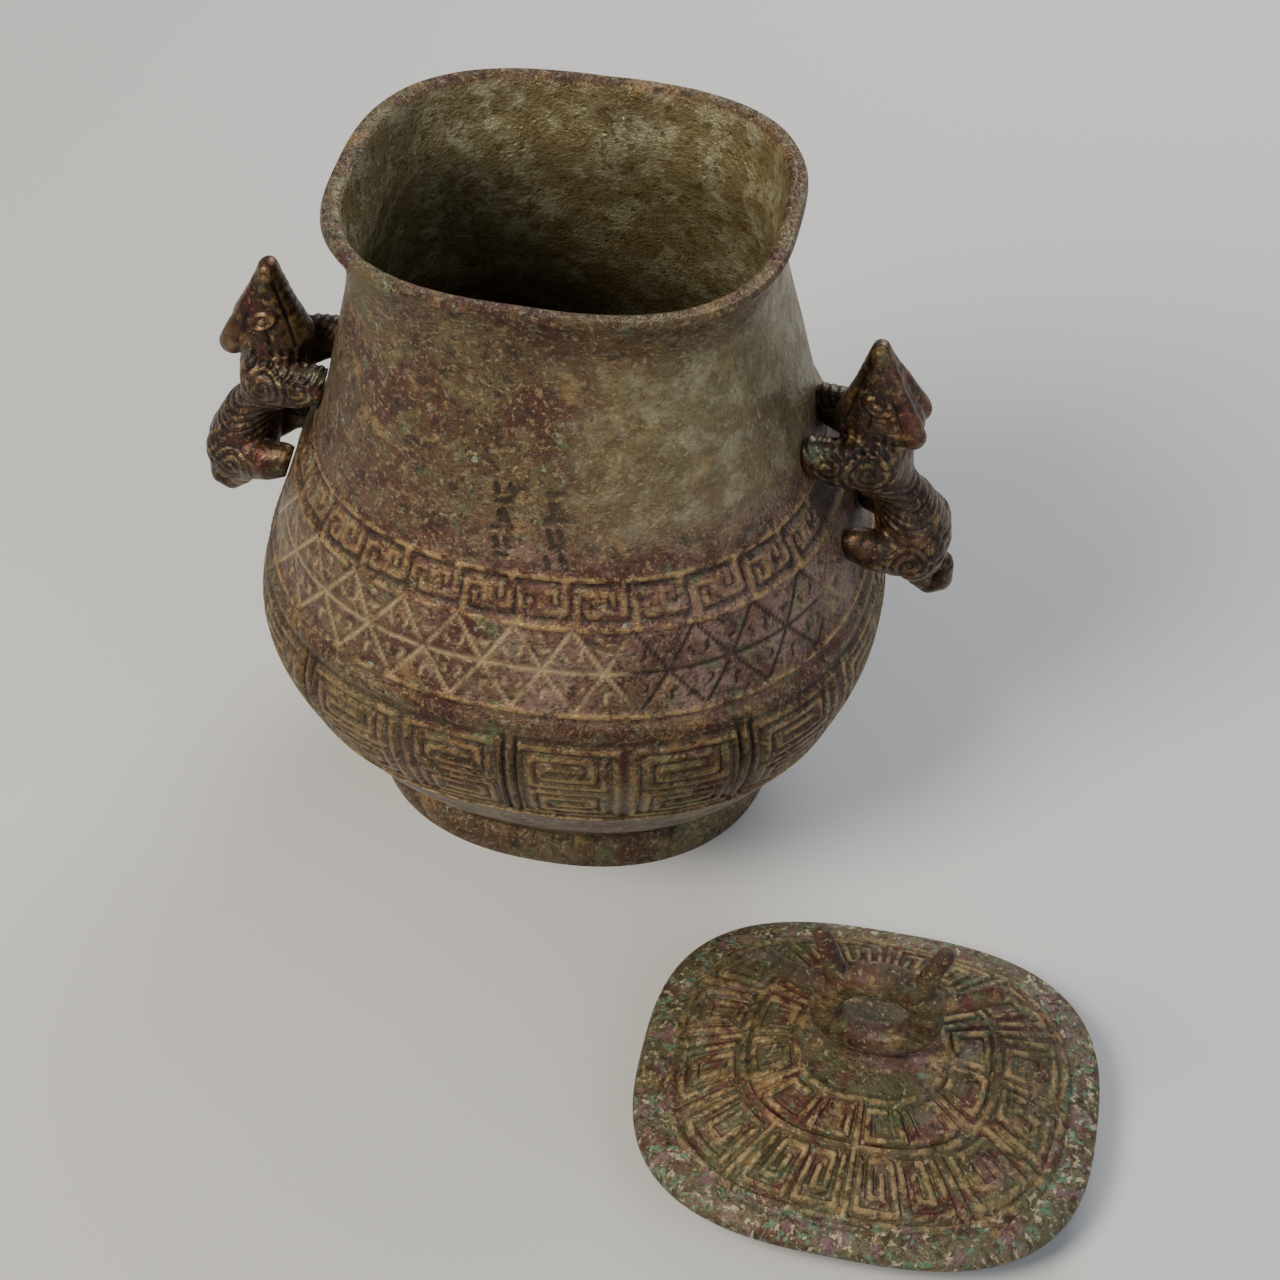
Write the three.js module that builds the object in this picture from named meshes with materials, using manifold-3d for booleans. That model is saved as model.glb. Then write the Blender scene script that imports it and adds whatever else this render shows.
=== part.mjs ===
// A cast bronze jar with a rounded rectangular mouth, a beast climbing each narrow side, and its loose lid.
// Millimetres, +Z up. The jar's underside is centred on the origin and its broad faces look along -Y and +Y.

import * as THREE from "three";
import { mergeVertices } from "three/addons/utils/BufferGeometryUtils.js";
import Module from "manifold-3d";

// Jar: levels above the underside
const jarHeight = 290;
const neckLevel = 262;
const upperNeckLevel = 222;
const hookBandTop = 182;
const hookBandBottom = 165;
const starBandBottom = 129.5;
const panelBandTop = 118;
const bellyLevel = 98;
const panelBandBottom = 66;
const lowerBellyLevel = 45;
const footHeight = 14;
const footEdgeHeight = 8;

// Jar: half widths across the handles, and how deep the sections are for their width
const mouthHalfWidth = 85;
const neckHalfWidth = 78;
const upperNeckHalfWidth = 87;
const hookTopHalfWidth = 98;
const hookBottomHalfWidth = 106.5;
const starBottomHalfWidth = 118.5;
const bellyHalfWidth = 126;
const lowerBellyHalfWidth = 104;
const footWaistHalfWidth = 80;
const footFlare = 6;
const mouthDepthRatio = 0.84;
const neckDepthRatio = 0.85;
const upperNeckDepthRatio = 0.87;
const bodyDepthRatio = 0.9;
const mouthSquareness = 2.8;
const neckSquareness = 2.65;
const upperNeckSquareness = 2.45;
const bodySquareness = 2.27;

// Jar: walls
const wall = 3.5;
const baseThickness = 6;
const lipThickness = 8;
const lipEdgeHeight = 4;
const lipRounding = 1;
const insideMouthDepth = 14;

// Relief
const lineWidth = 2.6;
const lineRise = 0.9;
const cordWidth = 4;
const cordRise = 1.3;
const cordDrop = 1;
const reliefRise = 0.9;
const reliefRoot = 1.6;
const starSink = 0.9;
const starCount = 28;
const hookCount = 28;
const hookReachShare = 0.62;
const hookBarShare = 0.2;
const hookHalfWidthShare = 0.36;
const panelCount = 8;
const panelGroove = 4;
const panelBar = 3;
const fieldHalfWidthShare = 0.27;
const fieldHalfHeightShare = 0.3;
const bareHalfAngle = THREE.MathUtils.degToRad(14);

// Beasts: poses and limbs are shares of the height, the stand off the jar's wall and the breadth
const beastBase = 123;
const beastHeight = 117;
const beastStandOff = 40;
const beastBreadth = 38;
const pieceGap = 0.35;

// Lid: seen lying beside the jar on its plug
const lidOverhang = 2.5;
const plugClearance = 0.8;
const plugDepth = 12;
const plugWall = 4;
const plugRounding = 1;
const lidEdgeHeight = 5;
const lidRounding = 1.5;
const lidRise = 32;
const lidWall = 4;
const lidBorder = 11;
const lidBorderRise = 8;
const lidBar = 3;
const ringRadius = 25;
const ringHole = 12.5;
const ringThickness = 11;
const ringRounding = 1.5;
const ringSeat = 3;
const prongRadius = 4;
const lidSpacing = 12;
const lidBearing = THREE.MathUtils.degToRad(-48);
const outerLineShare = 0.97;
const middleLineShare = 0.62;
const innerLineShare = 0.36;
const outerBarBearings = [0, 25, 50, 90, 130, 155, 180, 205, 230, 270, 310, 335];
const innerBarBearings = [30, 90, 150, 210, 270, 330];

// Facets
const jarFacets = 56;
const lidFacets = 36;

const wasm = await Module();
wasm.setup();

const bronze = new THREE.MeshStandardMaterial({ color: 0x6b5a3c, roughness: 0.55, metalness: 0.85 });
const redBronze = new THREE.MeshStandardMaterial({ color: 0x4e3023, roughness: 0.4, metalness: 0.85 });
const greenBronze = new THREE.MeshStandardMaterial({ color: 0x56604a, roughness: 0.6, metalness: 0.8 });

// Turns a closed geometry into a solid, with shared vertices merged and its faces looking outward.
function toSolid(geometry) {
  const plain = geometry.clone();
  plain.deleteAttribute("normal");
  plain.deleteAttribute("uv");
  const merged = mergeVertices(plain, 1e-3);
  const points = merged.attributes.position.array;
  const corners = merged.index.array;
  const faces = [];
  let volume = 0;
  for (let i = 0; i < corners.length; i += 3) {
    const [a, b, c] = corners.slice(i, i + 3);
    if (a === b || b === c || c === a) continue;
    faces.push([a, b, c]);
    const pa = new THREE.Vector3().fromArray(points, 3 * a);
    const pb = new THREE.Vector3().fromArray(points, 3 * b);
    const pc = new THREE.Vector3().fromArray(points, 3 * c);
    volume += pa.dot(pb.cross(pc));
  }
  const outward = volume > 0 ? faces : faces.map(([a, b, c]) => [a, c, b]);
  return new wasm.Manifold(new wasm.Mesh({
    numProp: 3,
    vertProperties: new Float32Array(points),
    triVerts: new Uint32Array(outward.flat()),
  }));
}

function toMesh(solid, material, name) {
  const { vertProperties, triVerts } = solid.getMesh();
  const geometry = new THREE.BufferGeometry();
  geometry.setAttribute("position", new THREE.BufferAttribute(vertProperties, 3));
  geometry.setIndex(new THREE.BufferAttribute(triVerts, 1));
  geometry.computeVertexNormals();
  const mesh = new THREE.Mesh(geometry, material);
  mesh.name = name;
  return mesh;
}

function joinAll(solids) {
  return solids.reduce((sum, solid) => sum.add(solid));
}

// Radius of a rounded rectangular section at an angle, for a half width of 1.
function sectionRadius(angle, depthRatio, squareness) {
  const across = Math.abs(Math.cos(angle)) ** squareness;
  const along = Math.abs(Math.sin(angle) / depthRatio) ** squareness;
  return (across + along) ** (-1 / squareness);
}

// Turns a profile of [half width, height] points about Z and squares its sections.
function squaredLathe(profile, facets, sectionAt) {
  const geometry = new THREE.LatheGeometry(profile.map(([r, z]) => new THREE.Vector2(r, z)), facets);
  geometry.rotateX(Math.PI / 2);
  const position = geometry.attributes.position;
  for (let i = 0; i < position.count; i += 1) {
    const x = position.getX(i);
    const y = position.getY(i);
    const [depthRatio, squareness] = sectionAt(position.getZ(i), Math.hypot(x, y));
    const stretch = sectionRadius(Math.atan2(y, x), depthRatio, squareness);
    position.setXY(i, x * stretch, y * stretch);
  }
  return geometry;
}

// The smooth outside of the jar, without its foot rim, lip and relief.
const bodyStations = [
  [0, footWaistHalfWidth, bodyDepthRatio, bodySquareness],
  [footHeight, footWaistHalfWidth, bodyDepthRatio, bodySquareness],
  [lowerBellyLevel, lowerBellyHalfWidth, bodyDepthRatio, bodySquareness],
  [bellyLevel, bellyHalfWidth, bodyDepthRatio, bodySquareness],
  [starBandBottom, starBottomHalfWidth, bodyDepthRatio, bodySquareness],
  [hookBandBottom, hookBottomHalfWidth, bodyDepthRatio, bodySquareness],
  [hookBandTop, hookTopHalfWidth, bodyDepthRatio, bodySquareness],
  [upperNeckLevel, upperNeckHalfWidth, upperNeckDepthRatio, upperNeckSquareness],
  [neckLevel, neckHalfWidth, neckDepthRatio, neckSquareness],
  [jarHeight, neckHalfWidth, mouthDepthRatio, mouthSquareness],
];
const bodyCurve = new THREE.CubicInterpolant(
  bodyStations.map((station) => station[0]),
  bodyStations.flatMap((station) => station.slice(1)),
  3,
);

function bodyAt(level) {
  const [halfWidth, depthRatio, squareness] = bodyCurve.evaluate(THREE.MathUtils.clamp(level, 0, jarHeight));
  return { halfWidth, depthRatio, squareness };
}

function jarSection(level) {
  const { depthRatio, squareness } = bodyAt(level);
  return [depthRatio, squareness];
}

// A point on the jar's outside, raised by a lift.
function onJar(angle, level, lift) {
  const { halfWidth, depthRatio, squareness } = bodyAt(level);
  const radius = (halfWidth + lift) * sectionRadius(angle, depthRatio, squareness);
  return new THREE.Vector3(radius * Math.cos(angle), radius * Math.sin(angle), level);
}

// A plate that follows a surface: an outline of [u, v] points, with holes, between a root and a lift.
function plate(surface, outline, holes, root, lift) {
  const toPoints = (loop) => loop.map(([u, v]) => new THREE.Vector2(u, v));
  const turned = (loop, clockwise) =>
    THREE.ShapeUtils.isClockWise(toPoints(loop)) === clockwise ? loop : [...loop].reverse();
  const rings = [turned(outline, false), ...holes.map((hole) => turned(hole, true))];
  const caps = THREE.ShapeUtils.triangulateShape(toPoints(rings[0]), rings.slice(1).map(toPoints));
  const flat = rings.flat();
  const count = flat.length;
  const under = flat.map(([u, v]) => surface(u, v, -root));
  const over = flat.map(([u, v]) => surface(u, v, lift));
  const points = [...under, ...over];
  const faces = [];
  for (const [a, b, c] of caps) {
    faces.push(a, c, b, a + count, b + count, c + count);
  }
  let start = 0;
  for (const ring of rings) {
    ring.forEach((_, i) => {
      const a = start + i;
      const b = start + ((i + 1) % ring.length);
      faces.push(a, b, b + count, a, b + count, a + count);
    });
    start += ring.length;
  }
  const geometry = new THREE.BufferGeometry().setFromPoints(points);
  geometry.setIndex(faces);
  return toSolid(geometry);
}

// Profile rows over a raised line centred on a level.
function raisedLine(level, width, rise) {
  return [[level - width / 2, 0], [level, rise], [level + width / 2, 0]];
}

// Rows of the jar's outside from foot to lip, as [level, lift off the smooth body].
const starMiddle = (starBandBottom + hookBandBottom) / 2;
const cordLevel = (starBandBottom + panelBandTop) / 2 - cordDrop;
const mouthInside = mouthHalfWidth - lipThickness;
const lipLift = mouthHalfWidth - neckHalfWidth;
const jarRows = [
  [0, footFlare],
  [footEdgeHeight, footFlare],
  [footHeight, 0],
  [(footHeight + lowerBellyLevel) / 2, 0],
  [lowerBellyLevel, 0],
  ...raisedLine(panelBandBottom, lineWidth, lineRise),
  [(panelBandBottom + bellyLevel) / 2, 0],
  [(panelBandTop + bellyLevel) / 2, 0],
  ...raisedLine(cordLevel, cordWidth, cordRise),
  ...raisedLine(starBandBottom, lineWidth, lineRise),
  [starMiddle, 0],
  ...raisedLine(hookBandBottom, lineWidth, lineRise),
  ...raisedLine(hookBandTop, lineWidth, lineRise),
  [upperNeckLevel, 0],
  [neckLevel, 0],
  [jarHeight - insideMouthDepth, mouthInside + wall - neckHalfWidth],
  [jarHeight - lipEdgeHeight, lipLift - lipRounding],
  [jarHeight - lipRounding, lipLift],
  [jarHeight, lipLift - lipRounding],
];

// The jar's outside as a full block, grown by a margin.
function jarBlock(margin) {
  const profile = jarRows.map(([level, lift]) => [bodyAt(level).halfWidth + lift + margin, level]);
  return squaredLathe([[0, 0], ...profile, [0, jarHeight]], jarFacets, jarSection);
}

// Sinks the middle of the star band at every other facet, so that its triangles stand out as facets.
function carveStars(geometry) {
  const position = geometry.attributes.position;
  const step = (2 * Math.PI) / jarFacets;
  for (let i = 0; i < position.count; i += 1) {
    const x = position.getX(i);
    const y = position.getY(i);
    const angle = Math.atan2(y, x);
    const facet = Math.round(angle / step);
    const onBand = Math.abs(position.getZ(i) - starMiddle) < 0.01;
    const star = Math.abs(facet % (jarFacets / starCount)) === 1;
    const bare = Math.abs(Math.sin(angle)) < Math.sin(bareHalfAngle);
    if (onBand && star && !bare) {
      const shrink = 1 - starSink / Math.hypot(x, y);
      position.setXY(i, x * shrink, y * shrink);
    }
  }
}

// The hollow inside the jar, open at the mouth.
function jarCavity() {
  const levels = [(footHeight + lowerBellyLevel) / 2, panelBandBottom, bellyLevel, starMiddle, hookBandTop,
    upperNeckLevel];
  const inside = levels.map((level) => {
    const slope = (bodyAt(level + wall).halfWidth - bodyAt(level - wall).halfWidth) / (2 * wall);
    return [bodyAt(level).halfWidth - wall * Math.hypot(1, slope), level];
  });
  const profile = [
    [0, baseThickness],
    [footWaistHalfWidth - wall, baseThickness],
    [footWaistHalfWidth - wall, footHeight],
    ...inside,
    [neckHalfWidth - wall, neckLevel],
    [mouthInside, jarHeight - insideMouthDepth],
    [mouthInside, jarHeight + wall],
    [0, jarHeight + wall],
  ];
  return squaredLathe(profile, jarFacets / 2, jarSection);
}

// One hook of the meander: a stem on its raised line that turns into a bar at its end.
function hookOutline(centre, level, reach, halfWidth, bar) {
  const stem = halfWidth * 0.6;
  const end = level + reach;
  const inner = end - Math.sign(reach) * bar;
  return [
    [centre - halfWidth, level], [centre - halfWidth + stem, level], [centre - halfWidth + stem, inner],
    [centre + halfWidth, inner], [centre + halfWidth, end], [centre - halfWidth, end],
  ];
}

function isBare(angle) {
  return Math.abs(Math.sin(angle)) < Math.sin(bareHalfAngle);
}

function hookBand() {
  const pitch = (2 * Math.PI) / hookCount;
  const reach = (hookBandTop - hookBandBottom) * hookReachShare;
  const bar = (hookBandTop - hookBandBottom) * hookBarShare;
  const hooks = [];
  for (let i = 0; i < hookCount; i += 1) {
    const angle = (i + 0.5) * pitch;
    if (isBare(angle)) continue;
    const up = i % 2 === 0;
    const level = up ? hookBandBottom : hookBandTop;
    const outline = hookOutline(angle, level, up ? reach : -reach, pitch * hookHalfWidthShare, bar);
    hooks.push(plate(onJar, outline, [], reliefRoot, reliefRise));
  }
  return hooks;
}

function rectangle(left, right, bottom, top) {
  return [[left, bottom], [right, bottom], [right, top], [left, top]];
}

// Each belly panel is two fields side by side: a broad bar, a field, a narrow bar and a field again.
function panelBand() {
  const pitch = Math.PI / panelCount;
  const margin = panelGroove;
  const bottom = panelBandBottom + margin;
  const top = panelBandTop - margin / 2;
  const raised = [];
  for (let i = 0; i < 2 * panelCount; i += 1) {
    const start = (i - 0.5 * panelCount) * pitch;
    const halfBar = (i % 2 === 0 ? panelBar : panelBar / 2) / bellyHalfWidth;
    const bar = rectangle(start - halfBar, start + halfBar, bottom, top);
    raised.push(plate(onJar, bar, [], reliefRoot, reliefRise));
    const middle = start + pitch / 2;
    const half = pitch * fieldHalfWidthShare;
    const reach = (top - bottom) * fieldHalfHeightShare;
    const level = (top + bottom) / 2;
    const field = [[middle - half, level - reach], [middle, level - reach], [middle + half, level - reach],
      [middle + half, level + reach], [middle, level + reach], [middle - half, level + reach]];
    raised.push(plate(onJar, field, [], reliefRoot, reliefRise));
  }
  return raised;
}

// A tapering limb: a lathe of changing radius whose axis is bent along a smooth path.
function limb(path, radii, steps, sides, breadth = 1) {
  const curve = new THREE.CatmullRomCurve3(path);
  const girth = new THREE.CubicInterpolant(radii.map((_, i) => i / (radii.length - 1)), radii, 1);
  const profile = [new THREE.Vector2(0, 0)];
  for (let i = 0; i <= steps; i += 1) {
    const share = i / steps;
    profile.push(new THREE.Vector2(Math.max(girth.evaluate(share)[0], 0.2), share));
  }
  profile.push(new THREE.Vector2(0, 1));
  const geometry = new THREE.LatheGeometry(profile, sides);
  const position = geometry.attributes.position;
  const sideways = new THREE.Vector3(0, 1, 0);
  for (let i = 0; i < position.count; i += 1) {
    const share = position.getY(i);
    const centre = curve.getPointAt(share);
    const tangent = curve.getTangentAt(share);
    const across = new THREE.Vector3().crossVectors(sideways, tangent).normalize();
    const along = new THREE.Vector3().crossVectors(tangent, across).normalize();
    centre.addScaledVector(across, position.getX(i));
    centre.addScaledVector(along, position.getZ(i) * breadth);
    position.setXYZ(i, centre.x, centre.y, centre.z);
  }
  return toSolid(geometry);
}

// A place on a beast: its rise, its stand off the jar's wall and its side step, each as a share.
function beastPoint(rise, out, sidestep = 0) {
  const level = beastBase + rise * beastHeight;
  return new THREE.Vector3(bodyAt(level).halfWidth + out * beastStandOff, sidestep * beastBreadth, level);
}

// A limb of a beast, with its radii as shares of the beast's breadth.
function beastLimb(path, radiusShares, steps, sides, breadth = 1) {
  return limb(path, radiusShares.map((share) => share * beastBreadth), steps, sides, breadth);
}

function beastTrunk() {
  const spine = [beastPoint(0.08, 0.5), beastPoint(0.23, 0.55), beastPoint(0.38, 0.575),
    beastPoint(0.53, 0.55), beastPoint(0.68, 0.525)];
  return beastLimb(spine, [0.16, 0.355, 0.24, 0.34, 0.275], 8, 9, 1.27);
}

// The head is a wedge that narrows from the ear corner and the throat to the snout.
function beastHead() {
  const corners = [[0.58, 0.75], [0.66, 1.05], [0.71, 1.075], [0.78, 1], [0.97, 0.95], [1, 0.875],
    [0.97, 0.775], [0.8, 0.425], [0.66, 0.225], [0.56, 0.3]];
  const outline = corners.map(([rise, out]) => beastPoint(rise, out));
  const shape = new THREE.Shape(outline.map((point) => new THREE.Vector2(point.x, point.z)));
  const depth = beastBreadth * 0.78;
  const rounding = beastBreadth * 0.08;
  const geometry = new THREE.ExtrudeGeometry(shape, {
    depth: depth - 2 * rounding,
    bevelThickness: rounding,
    bevelSize: rounding,
    bevelOffset: -rounding,
    bevelSegments: 1,
  });
  geometry.translate(0, 0, rounding - depth / 2);
  geometry.rotateX(Math.PI / 2);
  const base = beastPoint(0.62, 0).z;
  const tip = beastPoint(1, 0).z;
  const position = geometry.attributes.position;
  for (let i = 0; i < position.count; i += 1) {
    const share = THREE.MathUtils.clamp((position.getZ(i) - base) / (tip - base), 0, 1);
    position.setY(i, position.getY(i) * (1 - 0.55 * share));
  }
  return toSolid(geometry);
}

function beastEyes() {
  return [-1, 1].map((side) => {
    const eye = new THREE.SphereGeometry(0.095 * beastBreadth, 6, 4);
    const place = beastPoint(0.76, 0.775, side * 0.27);
    eye.translate(place.x, place.y, place.z);
    return toSolid(eye);
  });
}

function beastEars() {
  return [-1, 1].map((side) => {
    const path = [beastPoint(0.63, 0.9, side * 0.2), beastPoint(0.66, 1.05, side * 0.32),
      beastPoint(0.7, 1.175, side * 0.42)];
    return beastLimb(path, [0.12, 0.105, 0.04], 2, 6);
  });
}

function beastLegs() {
  const radii = [0.185, 0.145, 0.13];
  const legs = [];
  for (const side of [-1, 1]) {
    const hind = [beastPoint(0.18, 0.5, side * 0.3), beastPoint(0.22, 0.25, side * 0.42),
      beastPoint(0.25, -0.1, side * 0.4)];
    const fore = [beastPoint(0.54, 0.5, side * 0.3), beastPoint(0.57, 0.25, side * 0.46),
      beastPoint(0.6, -0.1, side * 0.42)];
    legs.push(beastLimb(hind, radii, 2, 7), beastLimb(fore, radii, 2, 7));
  }
  return legs;
}

function beastTail() {
  const path = [beastPoint(0.14, 0.5), beastPoint(0.03, 0.55), beastPoint(-0.02, 0.675),
    beastPoint(0.03, 0.8), beastPoint(0.09, 0.725)];
  return beastLimb(path, [0.13, 0.13, 0.12, 0.105, 0.08], 7, 6);
}

function mirrored(geometry) {
  return geometry.clone().scale(-1, 1, 1);
}

// The lid's outside from the edge of its plug to its crown, as [half width, level] points.
const lidHalfWidth = mouthHalfWidth + lidOverhang;
const plugHalfWidth = mouthInside - plugClearance;
const fieldHalfWidth = lidHalfWidth - lidBorder;
const fieldBase = plugDepth + lidBorderRise;
const lidTop = plugDepth + lidRise;

// Level of the lid's ornament field above its seat, from its share of the field's half width.
function fieldLevel(share) {
  return fieldBase + (lidTop - fieldBase) * (1 - share ** 2);
}

function lidSection(level, halfWidth) {
  const share = Math.min(halfWidth / lidHalfWidth, 1);
  return [mouthDepthRatio, bodySquareness + (mouthSquareness - bodySquareness) * share];
}


function lidBlock() {
  const rows = [[0, lidTop]];
  const lines = [innerLineShare, middleLineShare, outerLineShare];
  for (const share of lines) {
    const half = lineWidth / 2 / fieldHalfWidth;
    rows.push([(share - half) * fieldHalfWidth, fieldLevel(share - half)]);
    rows.push([share * fieldHalfWidth, fieldLevel(share) + lineRise]);
    rows.push([(share + half) * fieldHalfWidth, fieldLevel(share + half)]);
  }
  const edge = [
    [lidHalfWidth - lidRounding, plugDepth + lidEdgeHeight],
    [lidHalfWidth, plugDepth + lidEdgeHeight - lidRounding],
    [lidHalfWidth, plugDepth + plugRounding],
    [lidHalfWidth - plugRounding, plugDepth],
    [plugHalfWidth, plugDepth],
    [plugHalfWidth, plugRounding],
    [plugHalfWidth - plugRounding, 0],
    [0, 0],
  ];
  return squaredLathe([...rows, ...edge].reverse(), lidFacets, lidSection);
}

function lidCavity() {
  const inside = plugHalfWidth - plugWall;
  const shares = [0.85, middleLineShare, 0.34];
  const profile = [[0, -wall], [inside, -wall], [inside, plugDepth]];
  for (const share of shares) {
    profile.push([share * fieldHalfWidth, fieldLevel(share) - lidWall]);
  }
  profile.push([0, lidTop - lidWall]);
  return squaredLathe(profile, lidFacets / 2, lidSection);
}

// A point on the lid's ornament field, from an angle and a share of the field's half width.
function onLid(angle, share, lift) {
  const halfWidth = share * fieldHalfWidth;
  const [depthRatio, squareness] = lidSection(0, halfWidth);
  const radius = halfWidth * sectionRadius(angle, depthRatio, squareness);
  return new THREE.Vector3(radius * Math.cos(angle), radius * Math.sin(angle), fieldLevel(share) + lift);
}

// Raised bars that part the lid's panels, and a nub in each panel, from the bars' bearings in degrees.
// The bars end on the slopes of the raised lines within and without.
function lidPanels(barBearings, innerLine, outerLine, nubs) {
  const innerShare = innerLine + lineWidth / 4 / fieldHalfWidth;
  const outerShare = outerLine - lineWidth / 4 / fieldHalfWidth;
  const middle = (innerShare + outerShare) / 2;
  const barAngles = [...barBearings, barBearings[0] + 360].map(THREE.MathUtils.degToRad);
  const pieces = [];
  barAngles.slice(0, -1).forEach((angle, i) => {
    const next = barAngles[i + 1];
    const inHalf = lidBar / 2 / (innerShare * fieldHalfWidth);
    const outHalf = lidBar / 2 / (outerShare * fieldHalfWidth);
    const bar = [[angle - inHalf, innerShare], [angle + inHalf, innerShare], [angle + outHalf, outerShare],
      [angle - outHalf, outerShare]];
    pieces.push(plate(onLid, bar, [], reliefRoot, reliefRise));
    if (!nubs) return;
    const centre = (angle + next) / 2;
    const halfTurn = (next - angle) * 0.22;
    const halfShare = (outerShare - innerShare) * 0.2;
    const nub = rectangle(centre - halfTurn, centre + halfTurn, middle - halfShare, middle + halfShare);
    pieces.push(plate(onLid, nub, [], reliefRoot, reliefRise));
  });
  return pieces;
}

// Ring knob, standing across the lid
const ringLevel = lidTop + ringRadius - ringSeat;

function lidRing() {
  const depth = ringThickness - 2 * ringRounding;
  const shape = new THREE.Shape().absarc(0, 0, ringRadius - ringRounding, 0, 2 * Math.PI);
  shape.holes.push(new THREE.Path().absarc(0, 0, ringHole + ringRounding, 0, 2 * Math.PI, true));
  const geometry = new THREE.ExtrudeGeometry(shape, {
    depth,
    bevelThickness: ringRounding,
    bevelSize: ringRounding,
    bevelSegments: 1,
    curveSegments: 11,
  });
  geometry.translate(0, 0, -depth / 2);
  geometry.rotateX(Math.PI / 2);
  geometry.translate(0, 0, ringLevel);
  return toSolid(geometry);
}

// Four blunt prongs rise from the ring's upper corners, one outward and one upward on each side.
function lidProngs() {
  const outward = [[0.66, 0.48], [1.18, 0.5], [1.7, 0.86]];
  const upward = [[0.6, 0.58], [0.7, 1.05], [0.88, 1.58]];
  const prongs = [];
  for (const side of [-1, 1]) {
    for (const shares of [outward, upward]) {
      const path = shares.map(([x, z]) => {
        return new THREE.Vector3(side * x * ringRadius, 0, ringLevel + z * ringRadius);
      });
      prongs.push(limb(path, [prongRadius * 1.1, prongRadius, prongRadius * 0.85], 4, 6));
    }
  }
  return prongs;
}

function makeJar() {
  const block = jarBlock(0);
  carveStars(block);
  const relief = [...hookBand(), ...panelBand()];
  return joinAll([toSolid(block), ...relief]).subtract(toSolid(jarCavity()));
}

function makeBeast() {
  const parts = [beastTrunk(), beastHead(), beastTail(), ...beastLegs(), ...beastEyes(), ...beastEars()];
  return joinAll(parts).subtract(toSolid(jarBlock(pieceGap)));
}

function makeLid() {
  const relief = [
    ...lidPanels(outerBarBearings, middleLineShare, outerLineShare, true),
    ...lidPanels(innerBarBearings, innerLineShare, middleLineShare, false),
  ];
  const shell = joinAll([toSolid(lidBlock()), ...relief]).subtract(toSolid(lidCavity()));
  return joinAll([shell, lidRing(), ...lidProngs()]);
}

const beast = toMesh(makeBeast(), redBronze, "beast_handle_right");
const leftBeast = toMesh(toSolid(mirrored(beast.geometry)), redBronze, "beast_handle_left");
const lid = toMesh(makeLid(), greenBronze, "lid");
const lidDistance = bellyHalfWidth + lidHalfWidth + lidSpacing;
lid.position.set(lidDistance * Math.cos(lidBearing), lidDistance * Math.sin(lidBearing), 0);

const bronzeJar = new THREE.Group();
bronzeJar.add(toMesh(makeJar(), bronze, "jar"), beast, leftBeast, lid);

export default bronzeJar;
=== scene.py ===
import math
import bpy
import numpy as np
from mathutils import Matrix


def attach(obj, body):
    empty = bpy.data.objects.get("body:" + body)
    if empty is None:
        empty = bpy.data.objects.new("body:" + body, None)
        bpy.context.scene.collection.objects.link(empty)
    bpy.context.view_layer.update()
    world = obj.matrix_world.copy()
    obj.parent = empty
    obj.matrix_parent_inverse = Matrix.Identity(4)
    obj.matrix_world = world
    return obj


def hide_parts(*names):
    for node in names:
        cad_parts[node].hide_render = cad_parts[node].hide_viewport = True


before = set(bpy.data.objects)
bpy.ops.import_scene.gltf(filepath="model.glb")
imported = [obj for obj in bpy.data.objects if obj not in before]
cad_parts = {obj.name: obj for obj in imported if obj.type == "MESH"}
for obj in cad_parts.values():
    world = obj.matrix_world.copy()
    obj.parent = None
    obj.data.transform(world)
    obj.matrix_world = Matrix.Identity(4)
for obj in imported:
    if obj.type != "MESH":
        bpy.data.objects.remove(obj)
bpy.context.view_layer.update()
mm = 0.001

# Shared tools

def deselectAll():
    if bpy.context.object and bpy.context.object.mode != "OBJECT":
        bpy.ops.object.mode_set(mode="OBJECT")
    bpy.ops.object.select_all(action="DESELECT")


def onlyThis(piece):
    deselectAll()
    piece.select_set(True)
    bpy.context.view_layer.objects.active = piece


def addModifier(piece, kind, **settings):
    onlyThis(piece)
    modifier = piece.modifiers.new(kind.title(), kind)
    for name, value in settings.items():
        setattr(modifier, name, value)
    bpy.ops.object.modifier_apply(modifier=modifier.name)


def joinPieces(pieces, name):
    deselectAll()
    for piece in pieces:
        piece.select_set(True)
    bpy.context.view_layer.objects.active = pieces[0]
    bpy.ops.object.join()
    joined = bpy.context.object
    joined.name = name
    bpy.ops.object.transform_apply(location=True, rotation=True, scale=True)
    return joined


def readPoints(piece):
    points = np.empty(3 * len(piece.data.vertices))
    piece.data.vertices.foreach_get("co", points)
    return points.reshape(-1, 3)


def writePoints(piece, points):
    piece.data.vertices.foreach_set("co", points.ravel())
    piece.data.update()


def setAttribute(piece, name, values):
    attribute = piece.data.attributes.get(name) or piece.data.attributes.new(name, "FLOAT", "POINT")
    attribute.data.foreach_set("value", np.ascontiguousarray(values, dtype=np.float32))


def closeShell(piece, merge):
    # Merges the seam, fills the open ends and turns the faces outward
    onlyThis(piece)
    bpy.ops.object.mode_set(mode="EDIT")
    bpy.ops.mesh.select_all(action="SELECT")
    bpy.ops.mesh.remove_doubles(threshold=merge)
    bpy.ops.mesh.select_all(action="DESELECT")
    bpy.ops.mesh.select_non_manifold()
    bpy.ops.mesh.fill_holes(sides=0)
    bpy.ops.mesh.select_all(action="SELECT")
    bpy.ops.mesh.normals_make_consistent(inside=False)
    bpy.ops.object.mode_set(mode="OBJECT")
    bpy.ops.object.shade_smooth_by_angle(angle=math.radians(60))


def smoothStep(low, high, value):
    share = np.clip((value - low) / (high - low), 0, 1)
    return share * share * (3 - 2 * share)


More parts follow.
